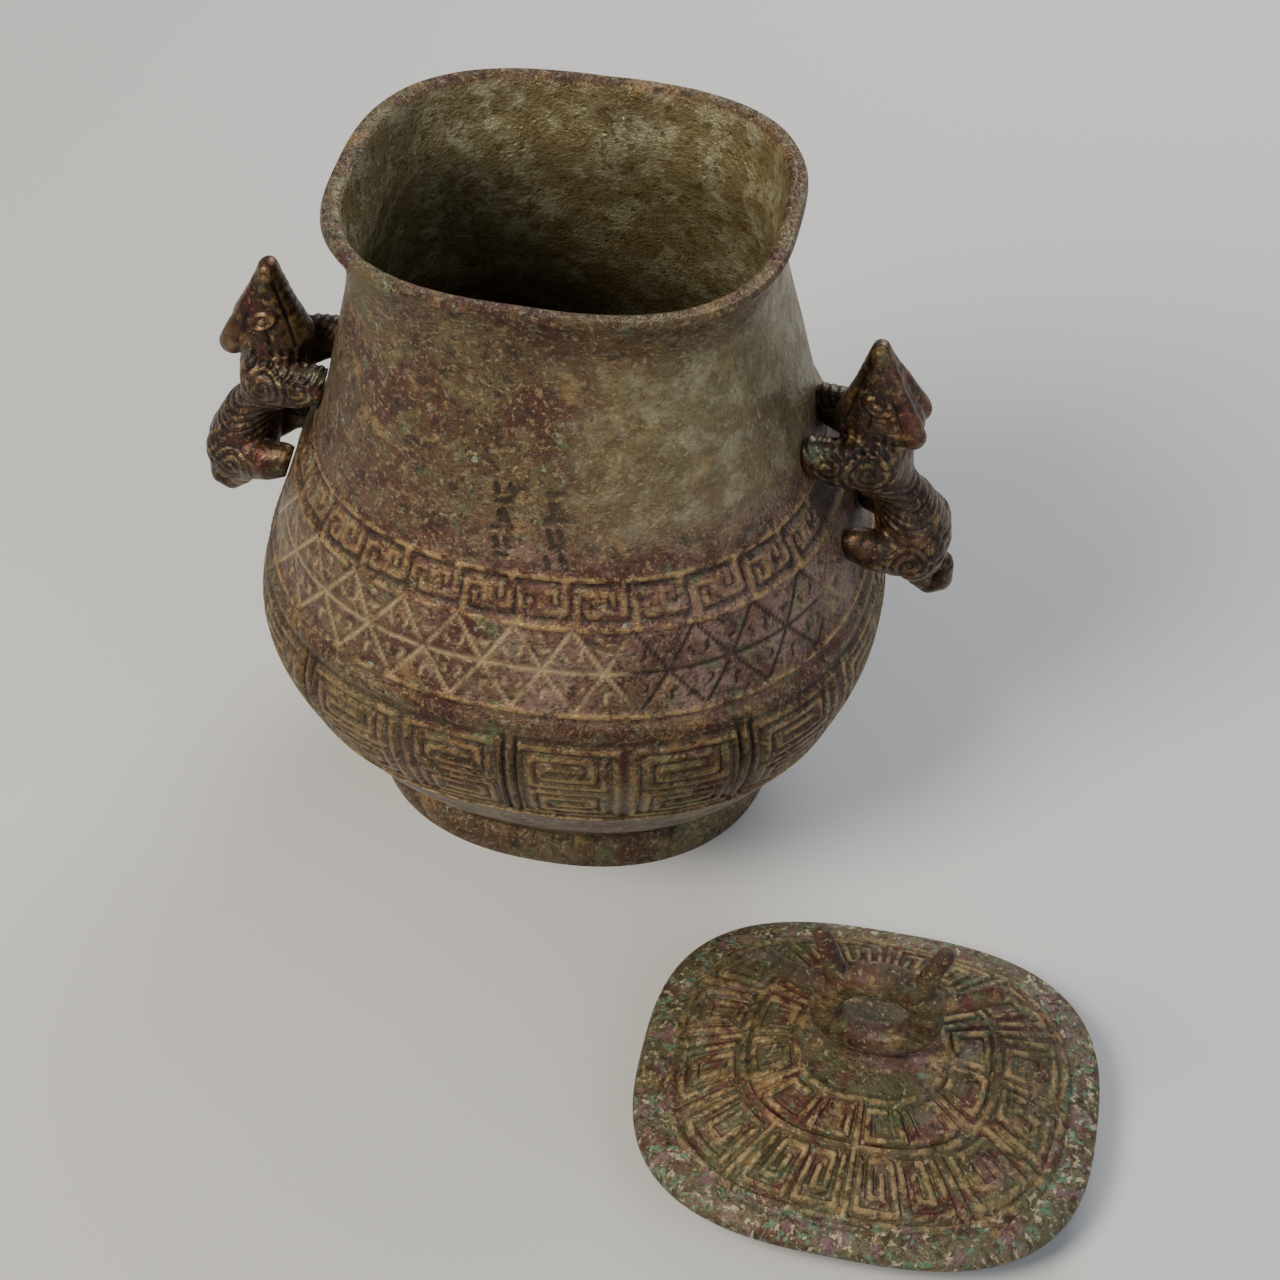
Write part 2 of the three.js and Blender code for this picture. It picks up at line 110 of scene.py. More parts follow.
# How high a rounded ridge stands at a distance from its middle line, from 0 to 1
def ridge(distance, halfWidth, soft):
    return 1 - smoothStep(halfWidth - soft / 2, halfWidth + soft / 2, distance)


def lineDistance(u, v, lines):
    nearest = np.full(u.shape, 1e6)
    for line in lines:
        for (ax, ay), (bx, by) in zip(line, line[1:]):
            dx, dy = bx - ax, by - ay
            share = np.clip(((u - ax) * dx + (v - ay) * dy) / (dx * dx + dy * dy), 0, 1)
            nearest = np.minimum(nearest, np.hypot(u - ax - share * dx, v - ay - share * dy))
    return nearest


def squareSpiral(left, bottom, right, top, gap, mirror=False):
    outer = (left, right)
    points = [(left, bottom)]
    while right - left > gap and top - bottom > gap:
        points += [(left, top), (right, top), (right, bottom)]
        left += gap
        if right - left > gap:
            points.append((left, bottom))
        right -= gap
        top -= gap
        bottom += gap
    if mirror:
        points = [(outer[0] + outer[1] - x, y) for x, y in points]
    return points


# A slow unevenness round a cast surface, from a few waves
def castWaves(angle, level, seed):
    rng = np.random.default_rng(seed)
    total = 0
    for turns in (2, 3, 5, 7, 11, 17, 23):
        phase, climb = rng.uniform(0, 6.28), rng.uniform(0.02, 0.09)
        total = total + np.sin(turns * angle + phase + climb * level * math.sqrt(turns)) / turns ** 0.7
    return total / 2.2


# Sections of the jar, in millimetres as in the frame
jarShape = {
    "stations": [[0, 80, 0.9, 2.27], [14, 80, 0.9, 2.27], [45, 104, 0.9, 2.27], [98, 126, 0.9, 2.27],
                 [129.5, 118.5, 0.9, 2.27], [165, 106.5, 0.9, 2.27], [182, 98, 0.9, 2.27],
                 [222, 87, 0.87, 2.45], [262, 78, 0.85, 2.65], [290, 78, 0.84, 2.8]],
    "lifts": [[0, 5.4], [1.2, 6], [8, 6], [11, 4.4], [14, 0.4], [17, 0], [262, 0], [270, 0.9], [277, 2.6],
              [283, 4.6], [286.5, 6.3], [288.6, 7], [289.6, 6.7], [290, 5.8]],
    "wall": 3.5,
    "columns": 560,
}


def bodyAt(level):
    stations = np.array(jarShape["stations"], dtype=float)
    t, values = stations[:, 0], stations[:, 1:]
    level = np.clip(np.atleast_1d(level).astype(float), t[0], t[-1])
    after = np.clip(np.searchsorted(t, level, side="right"), 1, len(t) - 1)
    t0, t1 = t[after - 1], t[after]
    first, last = after < 2, after + 1 >= len(t)
    beforeIndex = np.where(first, after, after - 2)
    nextIndex = np.where(last, after - 1, np.minimum(after + 1, len(t) - 1))
    tBefore = np.where(first, t1, t[after - 2])
    tNext = np.where(last, t0, t[np.minimum(after + 1, len(t) - 1)])
    wBefore = 0.5 * (t1 - t0) / (t0 - tBefore)
    wNext = 0.5 * (t1 - t0) / (tNext - t1)
    p = (level - t0) / (t1 - t0)
    sBefore = -wBefore * p ** 3 + 2 * wBefore * p ** 2 - wBefore * p
    s0 = (1 + wBefore) * p ** 3 + (-1.5 - 2 * wBefore) * p ** 2 + (-0.5 + wBefore) * p + 1
    s1 = (-1 - wNext) * p ** 3 + (1.5 + wNext) * p ** 2 + 0.5 * p
    sNext = wNext * p ** 3 - wNext * p ** 2
    return (sBefore[:, None] * values[beforeIndex] + s0[:, None] * values[after - 1]
            + s1[:, None] * values[after] + sNext[:, None] * values[nextIndex])


def sectionRadius(angle, depthRatio, squareness):
    across = np.abs(np.cos(angle)) ** squareness
    along = np.abs(np.sin(angle) / depthRatio) ** squareness
    return (across + along) ** (-1 / squareness)


# Camera: the jar seen from above its mouth at the photographed angle
view = {"azimuth": 12, "elevation": 47, "distance": 0.98, "target": (0.036, -0.043, 0.108), "lens": 70}


def placeCamera():
    bpy.ops.object.camera_add()
    camera = bpy.context.object
    azimuth, elevation = math.radians(view["azimuth"]), math.radians(view["elevation"])
    flat = math.cos(elevation)
    back = (math.sin(azimuth) * flat, -math.cos(azimuth) * flat, math.sin(elevation))
    camera.location = [t + view["distance"] * b for t, b in zip(view["target"], back)]
    camera.rotation_euler = (math.pi / 2 - elevation, 0, azimuth)
    camera.data.lens = view["lens"]
    camera.data.sensor_width = 36
    camera.data.clip_start = 0.01
    bpy.context.scene.camera = camera


# Light: a broad soft key from the left, a low fill and a cool rim behind
studio = {
    "key": {"place": (-0.75, -0.85, 1.35), "size": 0.7, "power": 30, "colour": "#fff4e4"},
    "fill": {"place": (1.25, -0.7, 0.8), "size": 1.2, "power": 8, "colour": "#eaf1ff"},
    "rim": {"place": (0.3, 1.2, 0.95), "size": 0.8, "power": 14, "colour": "#ffffff"},
    "sky": "#c9cdd2",
    "skyStrength": 0.32,
}


def toLinear(code):
    parts = [int(code[i:i + 2], 16) / 255 for i in (1, 3, 5)]
    return tuple(p / 12.92 if p <= 0.04045 else ((p + 0.055) / 1.055) ** 2.4 for p in parts) + (1,)


def aimAt(thing, target):
    away = [p - t for p, t in zip(thing.location, target)]
    flat = math.hypot(away[0], away[1])
    thing.rotation_euler = (math.atan2(flat, away[2]), 0, math.atan2(away[0], -away[1]))


def placeLights():
    for name in ("key", "fill", "rim"):
        lamp = studio[name]
        bpy.ops.object.light_add(type="AREA", location=lamp["place"])
        light = bpy.context.object
        light.name = name
        light.data.size = lamp["size"]
        light.data.energy = lamp["power"]
        light.data.color = toLinear(lamp["colour"])[:3]
        aimAt(light, (0.03, -0.03, 0.12))
    world = bpy.data.worlds.new("studio")
    bpy.context.scene.world = world
    world.use_nodes = True
    world.node_tree.nodes["Background"].inputs["Color"].default_value = toLinear(studio["sky"])
    world.node_tree.nodes["Background"].inputs["Strength"].default_value = studio["skyStrength"]


# Materials

def addNode(tree, kind, settings=None, links=None):
    node = tree.nodes.new(kind)
    for name, value in (settings or {}).items():
        if isinstance(name, str) and hasattr(node, name):
            setattr(node, name, value)
        else:
            node.inputs[name].default_value = value
    for name, source in (links or {}).items():
        tree.links.new(source, node.inputs[name])
    return node


# The cast surface, sizes in mm
castSkin = {"wander": 30, "grain": 1.6, "lumps": 9, "pits": 4.5, "bumpHeight": 1.4}


# Cast tin bronze after long burial: brown oxide over the metal, red cuprite, ochre earth, green malachite
# flecks and pale lime crust. Worn ridges show bare metal. A layer is a colour, the size of its patches in mm,
# the two levels of noise between which it comes in, its strength, and the zone that it keeps to. The zones
# come from numbers kept on the mesh: relief (hollow to ridge), crust (also painted light on the jar's neck),
# blush (also a painted pink sheen on one side of the jar's bands) and chalk (earth in the lines).
def patinatedBronze(name, look):
    material = bpy.data.materials.new(name)
    material.use_nodes = True
    tree = material.node_tree
    shader = tree.nodes["Principled BSDF"]
    place = addNode(tree, "ShaderNodeTexCoord").outputs["Object"]
    relief, crustAndLight, blushAndSheen, chalk = [
        addNode(tree, "ShaderNodeAttribute", {"attribute_name": kept}).outputs["Fac"]
        for kept in ("relief", "crustAndLight", "blushAndSheen", "chalk")]
    # Hollows, worn ridges and the painted pink sheen at the heart of the blush,
    # each as a share of those numbers
    deep, ridges, paintedPinkSheen = [
        addNode(tree, "ShaderNodeMapRange", {"From Min": low, "From Max": high}, {"Value": source}).outputs[0]
        for low, high, source in ((0.48, 0.2, relief), (0.6, 0.95, relief), (0.6, 1.0, blushAndSheen))]
    zones = {"crustAndLight": crustAndLight, "blushAndSheen": blushAndSheen, "paintedPinkSheen": paintedPinkSheen, "chalk": chalk, "recess": deep, "ridge": ridges}
    colour = addNode(tree, "ShaderNodeRGB")
    colour.outputs[0].default_value = toLinear(look["ground"])
    colour = colour.outputs[0]
    wander = addNode(tree, "ShaderNodeTexNoise", {"Scale": 1000 / castSkin["wander"], "Detail": 3.0},
                     {"Vector": place})
    # Patches bend a little, so that they don't look round
    bent = addNode(tree, "ShaderNodeMix", {"data_type": "VECTOR", 0: 0.012},
                   {4: place, 5: wander.outputs["Color"]}).outputs[1]
    for i, (code, size, low, high, strength, zone) in enumerate(look["layers"]):
        spot = addNode(tree, "ShaderNodeMapping", {"Location": (0.37 * i, 0.61 * i, 0.29 * i)},
                       {"Vector": bent})
        detail = 7.0 if size > 10 else 4.5  # patches of 10 mm and less need fewer octaves
        noise = addNode(tree, "ShaderNodeTexNoise",
                        {"Scale": 1000 / size, "Detail": detail, "Roughness": 0.68},
                        {"Vector": spot.outputs[0]})
        mask = addNode(tree, "ShaderNodeMapRange", {"interpolation_type": "SMOOTHSTEP", "From Min": low,
                       "From Max": high, "To Max": strength}, {"Value": noise.outputs["Fac"]}).outputs[0]
        if zone:
            mask = addNode(tree, "ShaderNodeMath", {"operation": "MULTIPLY"},
                           {0: mask, 1: zones[zone]}).outputs[0]
        mix = addNode(tree, "ShaderNodeMix", {"data_type": "RGBA", 7: toLinear(code)}, {0: mask, 6: colour})
        colour = mix.outputs[2]
    tree.links.new(colour, shader.inputs["Base Color"])
    grain = addNode(tree, "ShaderNodeTexNoise",
                    {"Scale": 1000 / castSkin["grain"], "Detail": 3.0, "Roughness": 0.7}, {"Vector": place})
    lumps = addNode(tree, "ShaderNodeTexNoise",
                    {"Scale": 1000 / castSkin["lumps"], "Detail": 5.0, "Roughness": 0.6}, {"Vector": bent})
    pits = addNode(tree, "ShaderNodeTexVoronoi", {"Scale": 1000 / castSkin["pits"]}, {"Vector": bent})
    pitMask = addNode(tree, "ShaderNodeMapRange", {"From Min": 0.0, "From Max": 0.22},
                      {"Value": pits.outputs[0]})
    sum1 = addNode(tree, "ShaderNodeMath", {"operation": "MULTIPLY_ADD", 1: look["grain"]},
                   {0: grain.outputs["Fac"], 2: lumps.outputs["Fac"]})
    sum2 = addNode(tree, "ShaderNodeMath", {"operation": "MULTIPLY_ADD", 1: look["pits"]},
                   {0: pitMask.outputs[0], 2: sum1.outputs[0]})
    bump = addNode(tree, "ShaderNodeBump",
                   {"Strength": look["bump"], "Distance": castSkin["bumpHeight"] * mm},
                   {"Height": sum2.outputs[0]})
    tree.links.new(bump.outputs[0], shader.inputs["Normal"])
    rough = addNode(tree, "ShaderNodeMapRange", {"From Min": 0.3, "From Max": 0.7, "To Min": look["rough"][0],
                    "To Max": look["rough"][1]}, {"Value": lumps.outputs["Fac"]})
    tree.links.new(rough.outputs[0], shader.inputs["Roughness"])
    metal = addNode(tree, "ShaderNodeMapRange", {"From Min": 0.4, "From Max": 1.0, "To Min": look["metal"][0],
                    "To Max": look["metal"][1]}, {"Value": relief})
    tree.links.new(metal.outputs[0], shader.inputs["Metallic"])
    return material


bronzeLooks = {
    # thin-walled casting: matt brown and plum oxide with ochre earth, and a dull shine on worn ridges
    "jarBronze": {
        "ground": "#54402a",
        "layers": [
            ("#6b6142", 46, 0.42, 0.62, 0.80, ""),
            ("#6b4a42", 34, 0.30, 0.52, 0.80, "blushAndSheen"),
            ("#4a2620", 30, 0.48, 0.60, 0.85, ""),
            ("#8c7048", 18, 0.54, 0.66, 0.75, ""),
            # painted pink sheen on the side of the bands where the blush is strongest
            ("#967b70", 24, 0.44, 0.62, 0.65, "paintedPinkSheen"),
            ("#2b211a", 7, 0.52, 0.64, 0.70, ""),
            ("#5d6a4a", 11, 0.57, 0.66, 0.70, ""),
            ("#837a66", 3.6, 0.53, 0.66, 0.60, ""),
            ("#231a14", 1.8, 0.52, 0.62, 0.60, ""),
            ("#9a875f", 2.4, 0.56, 0.64, 0.65, ""),
            ("#86a083", 4.5, 0.64, 0.70, 0.70, ""),
            ("#241b13", 12, 0.20, 0.46, 0.85, "recess"),
            ("#b09364", 6, 0.40, 0.58, 0.85, "ridge"),
            ("#b8a47c", 9, 0.30, 0.52, 0.90, "chalk"),
            ("#897e5a", 34, 0.20, 0.50, 0.85, "crustAndLight"),
            ("#b1af92", 12, 0.46, 0.62, 0.70, "crustAndLight"),
            ("#5c4a2c", 4, 0.52, 0.62, 0.65, "crustAndLight"),
        ],
        "grain": 0.75, "pits": 0.35, "bump": 0.85, "rough": (0.28, 0.55), "metal": (0.42, 0.75),
    },
    # solid casting, smoothed by hands: deeper brown and red, with a low gloss
    "beastBronze": {
        "ground": "#35231b",
        "layers": [
            ("#5a4730", 15, 0.45, 0.60, 0.80, ""),
            ("#4f261f", 12, 0.52, 0.61, 0.80, ""),
            ("#86704a", 7, 0.54, 0.64, 0.75, ""),
            ("#62603f", 5, 0.57, 0.66, 0.60, ""),
            ("#1c130e", 4, 0.52, 0.62, 0.75, ""),
            ("#9a7a52", 2.4, 0.56, 0.66, 0.60, ""),
            ("#5b6b48", 7, 0.62, 0.69, 0.60, ""),
            ("#5f2c22", 7, 0.42, 0.60, 0.70, "blushAndSheen"),
            ("#140e0a", 10, 0.15, 0.40, 0.90, "recess"),
            ("#a5855c", 5, 0.42, 0.60, 0.80, "ridge"),
            ("#66775a", 9, 0.50, 0.64, 0.50, "crustAndLight"),
        ],
        "grain": 0.42, "pits": 0.20, "bump": 0.60, "rough": (0.24, 0.46), "metal": (0.45, 0.75),
    },
    # the most corroded casting: mottled green, red and pale crust, nearly matt
    "lidBronze": {
        "ground": "#544a30",
        "layers": [
            ("#4e5238", 26, 0.46, 0.60, 0.75, ""),
            ("#552621", 17, 0.48, 0.58, 0.80, ""),
            ("#75605c", 20, 0.54, 0.66, 0.60, ""),
            ("#8f784e", 12, 0.53, 0.64, 0.70, ""),
            ("#231a14", 5, 0.53, 0.65, 0.65, ""),
            ("#557358", 6, 0.59, 0.67, 0.70, ""),
            ("#2c1613", 12, 0.15, 0.45, 0.85, "recess"),
            ("#a98f63", 6, 0.44, 0.60, 0.75, "ridge"),
            ("#5e5a42", 12, 0.40, 0.60, 0.65, "crustAndLight"),
            ("#77595e", 8, 0.52, 0.62, 0.75, "crustAndLight"),
            ("#5b8268", 4, 0.54, 0.62, 0.75, "crustAndLight"),
            ("#33231c", 4, 0.54, 0.62, 0.70, "crustAndLight"),
            ("#b9b08e", 3.4, 0.56, 0.63, 0.80, "crustAndLight"),
            ("#241b14", 2.2, 0.54, 0.64, 0.55, ""),
            ("#a79a78", 2.6, 0.58, 0.66, 0.60, ""),
        ],
        "grain": 0.55, "pits": 0.35, "bump": 0.80, "rough": (0.42, 0.68), "metal": (0.30, 0.65),
    },
}


# Jar

jarWork = {
    # level from, level to, rows: closer where the bands are
    "rows": [(0, 14, 5), (14, 62, 6), (62, 119, 38), (119, 131, 11), (131, 163, 30), (163, 184, 18),
             (184, 222, 26), (222, 270, 8), (270, 290, 10)],
    "insideRows": [(289.9, 80), (289.2, 78.4), (287.5, 77.5), (284, 77), (276, 77), (269, 75.8), (262, 74.5)],
    "insideLevels": [250, 236, 222, 202, 182, 165, 147, 125, 98, 80, 66, 47, 29.5],
    "insideFloor": [(15, 77.6), (8, 75.5), (6, 70), (6, 30)],
    # each band: its lowest level, mean radius, repeats round the jar, the height its pattern fills, and its
    # lines, whose flanks are as wide as soft
    "hookBand": {"from": 165, "radius": 102, "repeats": 28, "height": 18.7, "halfWidth": 1.35, "soft": 1.1,
                 "rise": 1.15, "ground": 0.85},
    "starBand": {"from": 130.5, "radius": 112.5, "repeats": 28, "height": 37, "halfWidth": 0.65, "soft": 1.4,
                 "hookHalfWidth": 0.6, "hookSoft": 1.2, "depth": 0.75},
    "fretBand": {"from": 67.5, "radius": 123, "repeats": 16, "height": 50, "halfWidth": 1.6, "soft": 1.3,
                 "rise": 1.25, "ground": 1.1, "barHalfWidth": 1.1, "slotAt": 2.9, "slotHalfWidth": 0.7,
                 "slotMiddle": 92, "slotReach": 26, "slotDepth": 0.6},
    "slope": 1.1,  # length along the shoulder for 1 mm of level
    "bellySlope": 1.02,
    "raisedLines": (66, 129.5, 165, 182),
    "lineHalfWidth": 1.2,
    "lineRise": 0.9,
    "cordLevel": 122.75,
    "cordBeads": 190,
    # two columns of strokes on the neck: place across in mm, and first stroke's kind
    "strokeColumns": ((-6, 0), (13, 1)),
    "strokeTop": 214,
    "strokePitch": 5.2,
    "strokeRadius": 80,
    "darkLinesAt": -0.72,  # bearing in radians of the stretch whose star lines stay dark
}


# Two interlocking hooks that repeat along the band, as shares of the pitch and of the band's height
def hookLines(pitch, height):
    lower = [(0.10, 0), (0.10, 0.70), (0.45, 0.70), (0.45, 0.28), (0.27, 0.28), (0.27, 0.47)]
    upper = [(1 - x, 1 - y) for x, y in lower]
    lines = []
    for shift in (-1, 0, 1):
        for line in (lower, upper):
            lines.append([((x + shift) * pitch, y * height) for x, y in line])
    return lines


# Crossing lines of a star cell with its level middle line, and the small hooks between them
def starLines(pitch, height):
    straight = [[(0, 0), (pitch, height)], [(0, height), (pitch, 0)], [(0, height / 2), (pitch, height / 2)]]
    hooks = [[(0.46, 0.76), (0.52, 0.70), (0.59, 0.75)], [(0.50, 0.14), (0.50, 0.24), (0.58, 0.26)],
             [(0.09, 0.64), (0.15, 0.68), (0.13, 0.76)], [(0.10, 0.26), (0.16, 0.30), (0.12, 0.37)],
             [(0.90, 0.64), (0.85, 0.72)], [(0.88, 0.27), (0.88, 0.36)], [(0.42, 0.92), (0.48, 0.89)]]
    return straight, [[(x * pitch, y * height) for x, y in line] for line in hooks]


# The angular fret of half a belly panel: a frame and two facing square spirals
def fretLines(width, height):
    border = [(3.2, 2.6), (width - 3.2, 2.6), (width - 3.2, height - 2.6), (3.2, height - 2.6), (3.2, 2.6)]
    low = squareSpiral(8.6, 7.4, width - 8.6, height / 2 - 2.4, 4.9)
    high = [(width - x, height - y) for x, y in low]
    return [border, low, high]


# How far the skin is lifted in mm, its relief from hollow to ridge, and where the lines hold earth
def jarRelief(angle, level):
    lift = np.zeros(angle.shape)
    mark = np.full(angle.shape, 0.5)
    chalk = np.zeros(angle.shape)
    bare = smoothStep(0.2, 0.27, np.abs(np.sin(angle)))
    # Meander of hooks
    hookBand = jarWork["hookBand"]
    pitch = 2 * math.pi / hookBand["repeats"] * hookBand["radius"]
    band = (level > 163) & (level < 184)
    u = np.mod(angle[band] * hookBand["radius"], pitch)
    v = (level[band] - hookBand["from"]) * jarWork["slope"]
    away = lineDistance(u, v, hookLines(pitch, hookBand["height"]))
    stand = ridge(away, hookBand["halfWidth"], hookBand["soft"]) * bare[band]
    inside = smoothStep(165, 166, level[band]) * (1 - smoothStep(181, 182, level[band]))
    lift[band] += inside * (hookBand["rise"] * stand - hookBand["ground"])
    mark[band] += inside * (0.32 * stand - 0.25 * (1 - stand))
    # Stars
    starBand = jarWork["starBand"]
    pitch = 2 * math.pi / starBand["repeats"] * starBand["radius"]
    band = (level > 130) & (level < 165)
    u = np.mod(angle[band] * starBand["radius"], pitch)
    v = (level[band] - starBand["from"]) * jarWork["slope"]
    straight, hooks = starLines(pitch, starBand["height"])
    cut = ridge(lineDistance(u, v, straight), starBand["halfWidth"], starBand["soft"])
    small = ridge(lineDistance(u, v, hooks), starBand["hookHalfWidth"], starBand["hookSoft"])
    cut = np.maximum(cut, 0.9 * small) * bare[band]
    lift[band] -= starBand["depth"] * cut
    # Earth fills the lines pale, and they stay dark in one stretch
    edge = 0.93 - np.cos(angle[band] - jarWork["darkLinesAt"]) + 0.06 * np.sin(14 * angle[band])
    filled = smoothStep(0, 0.1, edge)
    mark[band] -= cut * 0.42 * (1 - filled)
    chalk[band] = cut * filled
    # Belly panels of two frets each, with a bar between two slots where panels meet
    fretBand = jarWork["fretBand"]
    pitch = 2 * math.pi / fretBand["repeats"] * fretBand["radius"]
    band = (level > 66) & (level < 119)
    shifted = (angle[band] + math.pi / 2) * fretBand["radius"]
    u = np.mod(shifted, pitch)
    v = (level[band] - fretBand["from"]) * jarWork["bellySlope"]
    away = lineDistance(u, v, fretLines(pitch, fretBand["height"]))
    stand = ridge(away, fretBand["halfWidth"], fretBand["soft"])
    seam = np.abs(np.mod(shifted + pitch, 2 * pitch) - pitch)
    bars = ridge(seam, fretBand["barHalfWidth"], 1.2)
    slots = ridge(np.abs(seam - fretBand["slotAt"]), fretBand["slotHalfWidth"], 1.2)
    reach = np.abs(level[band] - fretBand["slotMiddle"]) / fretBand["slotReach"]
    slots = slots * (1 - smoothStep(1.0, 1.6, reach))
    stand = np.maximum(stand, bars) * (1 - slots)
    inside = smoothStep(67, 68.2, level[band]) * (1 - smoothStep(117, 118.4, level[band]))
    worn = 0.55 + 0.45 * castWaves(angle[band], level[band], 12)
    pattern = (fretBand["rise"] * stand - fretBand["ground"]) * (0.75 + 0.25 * worn)
    lift[band] += inside * (pattern - fretBand["slotDepth"] * slots)
    mark[band] += inside * ((0.16 + 0.2 * worn) * stand - 0.24 * (1 - stand) - 0.26 * slots)
    # Raised lines and the beaded cord
    for at in jarWork["raisedLines"]:
        stand = ridge(np.abs(level - at), jarWork["lineHalfWidth"], 1.3)
        lift += stand * jarWork["lineRise"]
        mark += 0.44 * stand
    stand = ridge(np.abs(level - jarWork["cordLevel"]), 1.9, 1.6)
    beads = 0.5 + 0.5 * np.cos(angle * jarWork["cordBeads"] + (level - jarWork["cordLevel"]) * 1.1)
    lift += stand * (0.35 + 0.95 * beads)
    mark += stand * (0.5 * beads - 0.2)
    # Two short columns of tool strokes above the meander, at the front
    strokes = []
    for column, start in jarWork["strokeColumns"]:
        for row in range(6):
            y = jarWork["strokeTop"] - jarWork["strokePitch"] * row
            half = 3.4 - 0.9 * ((row + start) % 3)
            if (row + start) % 2:
                strokes.append([(column - half, y), (column + half, y + 0.7)])
            else:
                strokes.append([(column - half, y + 1.2), (column - half + 1, y - 2.2)])
                strokes.append([(column + half - 1.4, y + 1.4), (column + half, y - 1.8)])
    band = (level > 180) & (level < 222) & (np.abs(angle + math.pi / 2) < 0.35)
    u = (angle[band] + math.pi / 2) * jarWork["strokeRadius"]
    cut = ridge(lineDistance(u, level[band], strokes), 1.0, 1.1)
    lift[band] -= 0.8 * cut
    mark[band] -= 0.5 * cut
    return lift, np.clip(mark, 0, 1), chalk


def makeJar():
    outside = np.concatenate([np.linspace(a, b, n, endpoint=False) for a, b, n in jarWork["rows"]] + [[290]])
    lifts = np.array(jarShape["lifts"])
    halfWidths = bodyAt(outside)[:, 0] + np.interp(outside, lifts[:, 0], lifts[:, 1])
    rows = [(level, width, 0) for level, width in zip(outside, halfWidths)]
    rows += [(level, width, 1) for level, width in jarWork["insideRows"]]
    wall = jarShape["wall"]
    for level in jarWork["insideLevels"]:
        slope = (bodyAt(level + wall)[0, 0] - bodyAt(level - wall)[0, 0]) / (2 * wall)
        rows.append((level, bodyAt(level)[0, 0] - wall * math.hypot(1, slope), 1))
    rows += [(level, width, 1) for level, width in jarWork["insideFloor"]]
    rows = np.array(rows)
    deselectAll()
    # A flat grid that is rolled round the axis: one column for each step of angle, one row for each level
    bpy.ops.mesh.primitive_grid_add(x_subdivisions=jarShape["columns"], y_subdivisions=len(rows) - 1, size=1)
    piece = bpy.context.object
    piece.name = "jarCasting"
    points = readPoints(piece)
    angle = (points[:, 0] + 0.5) * 2 * math.pi - math.pi
    row = np.rint((points[:, 1] + 0.5) * (len(rows) - 1)).astype(int)
    level, width, inner = rows[row, 0], rows[row, 1], rows[row, 2]
    shape = bodyAt(level)
    lift, mark, chalk = jarRelief(angle, level)
    lift = np.where(inner > 0, 0, lift)
    mark = np.where(inner > 0, 0.5, mark)
    rough = castWaves(angle, level, 4)
    lift += np.where(inner > 0, 0.35, 0.22) * (rough - 0.6) * smoothStep(0, 20, level)
    radius = (width + lift) * sectionRadius(angle, shape[:, 1], shape[:, 2])
    lip = smoothStep(278, 289, level)
    rise = lip * 0.5 * (castWaves(angle, 0 * level, 9) - 1)
    points[:, 0] = radius * np.cos(angle)
    points[:, 1] = radius * np.sin(angle)
    points[:, 2] = level + rise
    writePoints(piece, points * mm)
    setAttribute(piece, "relief", mark)
    setAttribute(piece, "chalk", np.where(inner > 0, 0, chalk))
    # Pale crust inside, and pale crust with painted light on the right of the neck;
    # plum brown over the bands, with a painted pink sheen on their right
    paleCrustAndLight = smoothStep(0.3, 1.0, np.cos(angle + 0.35))
    paleCrustAndLight = paleCrustAndLight * smoothStep(186, 205, level) * (1 - smoothStep(262, 275, level))
    inside = smoothStep(90, 240, level) * (1 - smoothStep(286, 289, level))
    setAttribute(piece, "crustAndLight", np.where(inner > 0, inside, 0.5 * paleCrustAndLight))
    # Plum blush over the bands, made stronger on their right as a painted sheen
    bandBlushAndSheen = smoothStep(110, 135, level) * (1 - smoothStep(180, 225, level))
    bandBlushAndSheen = bandBlushAndSheen * (0.62 + 0.38 * smoothStep(0.2, 0.8, np.cos(angle + 0.7)))
    setAttribute(piece, "blushAndSheen", np.where(inner > 0, 0, bandBlushAndSheen))
    closeShell(piece, 0.00002)
    return piece


# Beasts

